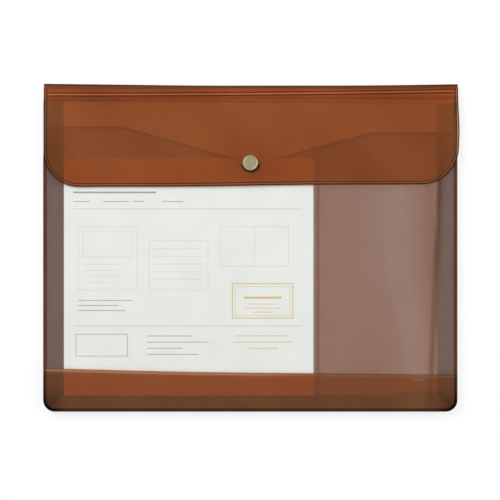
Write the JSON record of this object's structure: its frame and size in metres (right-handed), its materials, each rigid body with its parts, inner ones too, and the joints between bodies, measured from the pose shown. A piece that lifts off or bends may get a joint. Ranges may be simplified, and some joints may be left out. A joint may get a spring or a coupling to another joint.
{
  "type": "document case",
  "caption": "Flat A4 document case of soft clear and brown plastic sheet, with a bellows gusset, a flap closed by a metal snap, a divided front pocket holding a card, and a scooped back pocket.",
  "frame": {"origin": "centre of the case's outline, on the surface that its back lies on", "axes": "+X across the case to the right seen from the front, +Y from the bottom seam to the fold, +Z out of the front"},
  "size_m": [0.35, 0.277, 0.0126],
  "materials": {
    "brown_sheet": "translucent brown soft vinyl, satin gloss",
    "clear_sheet": "clear soft vinyl, gloss",
    "weld": "fused vinyl seam, gloss",
    "card": "matt card",
    "snap": "satin antique brass",
    "spring": "bright wire"
  },
  "bodies": {
    "back": {"back_panel": "brown_sheet", "back_pocket": "clear_sheet", "back_weld": "weld", "gusset": "clear_sheet", "flap_fold": "brown_sheet"},
    "front": {"front_panel": "clear_sheet", "front_pocket": "clear_sheet", "front_weld": "weld", "bottom_band": "brown_sheet", "snap_stud": "snap", "snap_post": "snap"},
    "card": {"insert_card": "card"},
    "flap": {"flap": "brown_sheet", "snap_cap": "snap", "snap_socket": "snap", "snap_spring": "spring"}
  },
  "joints": [
    {"name": "gusset_expand", "type": "hinge", "parent": "back", "child": "front", "pos_m": [0, 0.13515, 0.00415], "axis": [-1, 0, 0], "range_deg": [0, 4], "deforming": ["gusset"]},
    {"name": "flap_open", "type": "hinge", "parent": "front", "child": "flap", "pos_m": [0, 0.13515, 0.00415], "axis": [-1, 0, 0], "range_deg": [0, 175], "deforming": ["flap_fold"]},
    {"name": "card_slide", "type": "slide", "parent": "front", "child": "card", "axis": [0, 1, 0], "range_m": [0, 0.055]}
  ]
}
